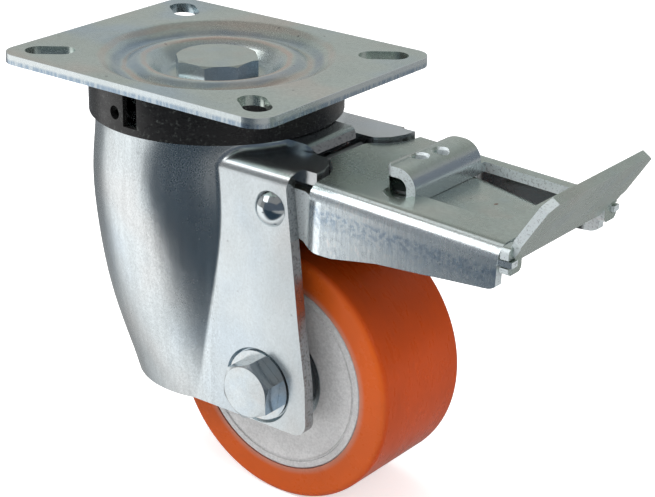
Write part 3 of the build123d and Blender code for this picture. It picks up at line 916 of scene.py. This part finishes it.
def tyre_finish(colours):
    """Cast tyre: satin orange with clouds and scuffs, a pale skirt at the hub and dark specks."""
    material, tree, sockets = new_finish("tread_orange", 0.0, specular=0.22)
    place = place_of(tree, AXLE)
    cloud = noise_of(tree, place, 32.0, 4.0)
    drawn = vector_of(tree, "MULTIPLY", place, (1.0, 3.0, 1.0))
    scuff = noise_of(tree, drawn, 75.0, 4.0, 0.7)
    level = step_of(tree, cloud, 0.25, 0.75, 0.92, 1.06)
    level = times(tree, level, step_of(tree, scuff, 0.55, 0.8, 1.0, 0.88))
    colour = shaded(tree, rgba(colours.tyre), level)
    paler = blend_of(tree, 1.0, colour, (1.12, 1.50, 2.4, 1.0), "MULTIPLY")
    colour = blend_of(tree, step_of(tree, facing_of(tree)[1], 0.5, 0.95), colour, paler)
    skirt = step_of(tree, axle_radius(tree), *TYRE_SKIRT)
    colour = blend_of(tree, times(tree, skirt, 0.40), colour, rgba(colours.warm, 0.55))
    specks = group_node(tree, "specks", Place=place, Scale=60.0, Size=0.035, Share=0.07)
    colour = blend_of(tree, specks["Mask"], colour, rgba(colours.ring))
    feed(tree, sockets, Base_Color=colour, Roughness=step_of(tree, scuff, 0.3, 0.75, 0.24, 0.38))
    bump(tree, sockets, noise_of(tree, place, 240.0, 3.0), 0.12, 0.06 * MM)
    return material


# --- new pieces ---------------------------------------------------------------


def clear_selection():
    """Nothing is selected or active, so the next operator acts on its own piece alone."""
    if bpy.context.object and bpy.context.object.mode != "OBJECT":
        bpy.ops.object.mode_set(mode="OBJECT")
    bpy.ops.object.select_all(action="DESELECT")
    bpy.context.view_layer.objects.active = None


def thread_ridge(name, shank, depth, pitch, length):
    """A screw thread's ridge round Z, from z 0 to about the given length, as one closed piece."""
    clear_selection()
    bpy.ops.mesh.primitive_circle_add(
        vertices=3, radius=depth, fill_type="NOTHING", location=ORIGIN
    )
    ridge = bpy.context.object
    ridge.name = name
    root = shank - ROOT_DEPTH
    corners = ((root, -FLANK * pitch), (shank + depth, 0.0), (root, FLANK * pitch))
    for vertex, (out, up) in zip(ridge.data.vertices, corners):
        vertex.co = (out, 0.0, up + 0.5 * pitch)
    bpy.ops.object.modifier_add(type="SCREW")
    screw = ridge.modifiers[-1]
    screw.axis = "Z"
    screw.screw_offset = pitch
    screw.iterations = max(1, round(length / pitch) - 1)
    screw.steps = THREAD_STEPS
    screw.render_steps = THREAD_STEPS
    screw.use_merge_vertices = True
    bpy.ops.object.modifier_apply(modifier=screw.name)
    bpy.ops.object.mode_set(mode="EDIT")
    bpy.ops.mesh.select_all(action="SELECT")
    bpy.ops.mesh.remove_doubles(threshold=0.001 * MM)
    bpy.ops.mesh.select_all(action="DESELECT")
    bpy.ops.mesh.select_mode(type="EDGE")
    bpy.ops.mesh.select_non_manifold()
    bpy.ops.mesh.edge_face_add()
    bpy.ops.mesh.select_all(action="SELECT")
    bpy.ops.mesh.normals_make_consistent(inside=False)
    bpy.ops.object.mode_set(mode="OBJECT")
    bpy.ops.object.shade_smooth_by_angle(angle=THREAD_CREASE)
    return ridge


def settle(piece, turn, place):
    """Turns and places a piece's mesh, so its object stays at the origin."""
    piece.data.transform(Matrix.Translation(place) @ turn)
    piece.matrix_world = Matrix.Identity(4)


class CASTOR_OT_plate(bpy.types.Operator):
    """Finishes the top plate."""

    bl_idname = "castor.plate"
    bl_label = "Finish top plate"

    def execute(self, context):
        wear(plate_finish(context.scene.castor_finishes), "top_plate")
        return {"FINISHED"}


class CASTOR_OT_fork(bpy.types.Operator):
    """Finishes the drawn fork."""

    bl_idname = "castor.fork"
    bl_label = "Finish fork"

    def execute(self, context):
        wear(fork_finish(context.scene.castor_finishes), "fork")
        return {"FINISHED"}


class CASTOR_OT_head(bpy.types.Operator):
    """Finishes the swivel head's dust ring, races, balls and lock ring."""

    bl_idname = "castor.head"
    bl_label = "Finish swivel head"

    def execute(self, context):
        colours = context.scene.castor_finishes
        wear(ring_finish(colours), "dust_ring")
        inner = inner_finish(colours)
        wear(inner, "king_washer", "king_nut", "lower_race", "lock_ring")
        wear(inner, "axle_sleeve", "axle_spacers")
        wear(ball_finish(colours), "upper_balls", "lower_balls", "bearing_balls")
        return {"FINISHED"}


class CASTOR_OT_fasteners(bpy.types.Operator):
    """Finishes the bolts, the nut, the washers and the pivot rivets."""

    bl_idname = "castor.fasteners"
    bl_label = "Finish fasteners"

    def execute(self, context):
        colours = context.scene.castor_finishes
        wear(bolt_finish(colours, "bolt_zinc", colours.plating), "axle_bolt", "axle_nut")
        wear(bolt_finish(colours, "king_zinc", colours.plate), "king_bolt")
        wear(washer_finish(colours), "axle_washers")
        wear(rivet_finish(colours), "pivot_rivets")
        return {"FINISHED"}


class CASTOR_OT_threads(bpy.types.Operator):
    """Builds the thread ridges on the ends of the axle bolt and the king bolt."""

    bl_idname = "castor.threads"
    bl_label = "Build threads"

    def execute(self, context):
        sizes = context.scene.castor_threads
        material = bpy.data.materials["bolt_zinc"]
        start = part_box("axle_nut")[1].y
        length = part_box("axle_bolt")[1].y - start
        if length < sizes.axle_pitch:
            raise RuntimeError("the axle bolt's end is too short for a thread")
        axle = thread_ridge("axle_thread", AXLE_SHANK, sizes.depth, sizes.axle_pitch, length)
        settle(axle, Matrix.Rotation(-math.pi / 2, 4, "X"), Vector((AXLE.x, start, AXLE.z)))
        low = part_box("king_bolt")[0].z
        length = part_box("king_nut")[0].z - low
        king = thread_ridge("king_thread", KING_SHANK, sizes.depth, sizes.king_pitch, length)
        settle(king, Matrix.Identity(4), Vector((0.0, 0.0, low)))
        for piece, body in ((axle, "swivel_fork"), (king, "base")):
            piece.data.materials.append(material)
            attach(piece, body)
        return {"FINISHED"}


class CASTOR_OT_wheel(bpy.types.Operator):
    """Finishes the hub, its bearings and the tyre."""

    bl_idname = "castor.wheel"
    bl_label = "Finish wheel"

    def execute(self, context):
        colours = context.scene.castor_finishes
        wear(hub_finish(colours), "wheel_hub")
        wear(tyre_finish(colours), "tread")
        wear(bearing_finish(colours), "bearing_inner_rings", "bearing_outer_rings")
        wear(seal_finish(colours), "bearing_seals")
        return {"FINISHED"}


class CASTOR_OT_brake(bpy.types.Operator):
    """Finishes the brake lever, its leaf, shoe, lock tongue and pedal flap."""

    bl_idname = "castor.brake"
    bl_label = "Finish brake"

    def execute(self, context):
        colours = context.scene.castor_finishes
        wear(lever_finish(colours), "brake_lever")
        wear(leaf_finish(colours), "brake_leaf")
        wear(flap_finish(colours), "pedal_flap")
        wear(inner_finish(colours, "shoe_steel", 0.08), "brake_shoe", "shoe_rivets")
        wear(tongue_finish(colours), "lock_tongue")
        return {"FINISHED"}


# --- stage --------------------------------------------------------------------


def floor_material(colour):
    """Pale floor that shows white to the camera but keeps the shadow."""
    material, tree, sockets = new_finish("floor_pale", 0.0, 0.9, 0.0)
    soft = noise_of(tree, place_of(tree), 3.0, 2.0)
    pale = blend_of(tree, soft, rgba(colour), rgba(colour, 1.02))
    path = tree.nodes.new("ShaderNodeLightPath")
    lift = times(tree, path.outputs["Is Camera Ray"], FLOOR_LIFT)
    white = (1.0, 1.0, 1.0, 1.0)
    feed(tree, sockets, Base_Color=pale, Emission_Color=white, Emission_Strength=lift)
    return material


def glow_material(name):
    """A card that shines by itself; returns the material, its tree and the glow's sockets."""
    material, tree, sockets = new_finish(name, 0.0, 1.0, 0.0)
    feed(tree, sockets, Base_Color=(0.0, 0.0, 0.0, 1.0), Emission_Strength=1.0)
    return material, tree, sockets


def floor_glow():
    """The floor as the metal sees it: bright at the left, dark toward the camera, grey beyond."""
    material, tree, sockets = glow_material("card_floor")
    x, y, _ = axes_of(tree, place_of(tree))
    nearness = plus(tree, times(tree, x, NEARER[0]), times(tree, y, NEARER[1]))
    near = step_of(tree, nearness, *NEAR_EDGE)
    colour = blend_of(tree, near, rgba(FLOOR_LEFT), rgba(FLOOR_NEAR))
    colour = blend_of(tree, step_of(tree, y, *UNDER_EDGE), colour, rgba(FLOOR_UNDER))
    colour = blend_of(tree, step_of(tree, x, *PEDAL_EDGE), colour, rgba(FLOOR_PAST_PEDAL))
    far_left = step_of(tree, x, *FAR_LEFT_EDGE)
    beyond = blend_of(tree, far_left, rgba(FLOOR_BEYOND), rgba(FLOOR_FAR_LEFT))
    colour = blend_of(tree, step_of(tree, y, *BEYOND_EDGE), colour, beyond)
    feed(tree, sockets, Emission_Color=colour)
    return material


def wall_glow(name, tone):
    """A plain wall of the room, as the metal sees it."""
    material, tree, sockets = glow_material(name)
    soft = noise_of(tree, place_of(tree), 2.0, 1.0)
    feed(tree, sockets, Emission_Color=blend_of(tree, soft, rgba(tone, 0.9), rgba(tone, 1.1)))
    return material


def card(name, corners, material):
    """A studio card that only reflections see."""
    clear_selection()
    bpy.ops.mesh.primitive_plane_add(size=1.0, location=ORIGIN)
    sheet = bpy.context.object
    sheet.name = name
    for vertex, place in zip(sheet.data.vertices, corners):
        vertex.co = place
    sheet.data.materials.append(material)
    sheet.visible_camera = False
    sheet.visible_diffuse = False
    sheet.visible_shadow = False
    sheet.visible_transmission = False


def area_lamp(name, place, target, size, power):
    """A square lamp that the metal doesn't mirror; the cards stand in for it there."""
    clear_selection()
    bpy.ops.object.light_add(type="AREA", location=place)
    lamp = bpy.context.object
    lamp.name = name
    lamp.data.shape = "SQUARE"
    lamp.data.size = size
    lamp.data.energy = power
    lamp.rotation_mode = "QUATERNION"
    lamp.rotation_quaternion = (Vector(target) - Vector(place)).to_track_quat("-Z", "Y")
    lamp.visible_glossy = False


def pale_world():
    """White to the camera, and a soft grey light on the castor."""
    world = bpy.data.worlds.new("studio")
    bpy.context.scene.world = world
    world.use_nodes = True
    tree = world.node_tree
    background = tree.nodes["Background"]
    background.inputs["Color"].default_value = (1.0, 1.0, 1.0, 1.0)
    path = tree.nodes.new("ShaderNodeLightPath")
    level = step_of(tree, path.outputs["Is Glossy Ray"], 0.0, 1.0, AMBIENT, CEILING)
    level = sum_of(tree, "MAXIMUM", level, path.outputs["Is Camera Ray"])
    feed(tree, background.inputs, Strength=level)


def studio_camera():
    """The camera, at the castor's front quarter and a little above it."""
    clear_selection()
    bpy.ops.object.camera_add(location=CAMERA_PLACE)
    camera = bpy.context.object
    camera.name = "studio_camera"
    axes = Matrix((CAMERA_RIGHT, CAMERA_UP, CAMERA_RIGHT.cross(CAMERA_UP)))
    camera.rotation_mode = "QUATERNION"
    camera.rotation_quaternion = axes.transposed().to_quaternion()
    camera.data.lens = CAMERA_LENS
    camera.data.sensor_width = 36.0
    camera.data.shift_x, camera.data.shift_y = CAMERA_SHIFT
    camera.data.clip_start = 0.05
    camera.data.clip_end = 20.0
    bpy.context.scene.camera = camera


class CASTOR_OT_stage(bpy.types.Operator):
    """Builds the floor, the lamps, the cards, the world and the camera."""

    bl_idname = "castor.stage"
    bl_label = "Build stage"

    def execute(self, context):
        choices = context.scene.castor_stage
        ground = CAD_BOX[0].z
        clear_selection()
        bpy.ops.mesh.primitive_plane_add(size=FLOOR_SIZE, location=ORIGIN)
        floor = bpy.context.object
        floor.name = "floor"
        floor.data.transform(Matrix.Translation((0.0, 0.0, ground)))
        floor.data.materials.append(floor_material(choices.floor))
        floor.visible_glossy = False
        corners = [(x, y, ground) for y in FLOOR_CARD_Y for x in FLOOR_CARD_X]
        card("floor_card", corners, floor_glow())
        glows = {tone: wall_glow("card_" + tone, colour) for tone, colour in GLOWS.items()}
        for name, *feet, top, tone in WALLS:
            corners = [(*foot, height) for height in (ground, top) for foot in feet]
            card(name, corners, glows[tone])
        card("soft_card", SOFT_CARD, glows["soft"])
        for setting, place, size in LAMPS:
            area_lamp(setting + "_lamp", place, LAMP_TARGET, size, getattr(choices, setting))
        pale_world()
        studio_camera()
        context.scene.view_settings.view_transform = "Standard"
        return {"FINISHED"}


class CASTOR_PT_panel(bpy.types.Panel):
    """Sizes, colours and steps of the castor."""

    bl_label = "Swivel castor"
    bl_idname = "CASTOR_PT_panel"
    bl_space_type = "VIEW_3D"
    bl_region_type = "UI"
    bl_category = "Castor"

    def draw(self, context):
        for group in SETTINGS:
            settings = getattr(context.scene, group)
            for name in settings.__annotations__:
                self.layout.prop(settings, name)
        for operator in OPERATORS:
            self.layout.operator(operator.bl_idname)


OPERATORS = (
    CASTOR_OT_plate,
    CASTOR_OT_fork,
    CASTOR_OT_head,
    CASTOR_OT_fasteners,
    CASTOR_OT_threads,
    CASTOR_OT_wheel,
    CASTOR_OT_brake,
    CASTOR_OT_stage,
)
SETTINGS = {
    "castor_finishes": CastorFinishes,
    "castor_threads": CastorThreads,
    "castor_stage": CastorStage,
}


def register():
    """Makes the settings, operators and panel known to Blender."""
    for name, group in SETTINGS.items():
        bpy.utils.register_class(group)
        setattr(bpy.types.Scene, name, bpy.props.PointerProperty(type=group))
    for operator in OPERATORS:
        bpy.utils.register_class(operator)
    bpy.utils.register_class(CASTOR_PT_panel)


def unregister():
    """Takes them away again."""
    bpy.utils.unregister_class(CASTOR_PT_panel)
    for operator in reversed(OPERATORS):
        bpy.utils.unregister_class(operator)
    for name, group in SETTINGS.items():
        delattr(bpy.types.Scene, name)
        bpy.utils.unregister_class(group)


def main():
    """Builds the castor and its stage."""
    register()
    bpy.ops.castor.plate()
    bpy.ops.castor.fork()
    bpy.ops.castor.head()
    bpy.ops.castor.fasteners()
    bpy.ops.castor.threads()
    bpy.ops.castor.wheel()
    bpy.ops.castor.brake()
    bpy.ops.castor.stage()


if __name__ == "__main__":
    main()
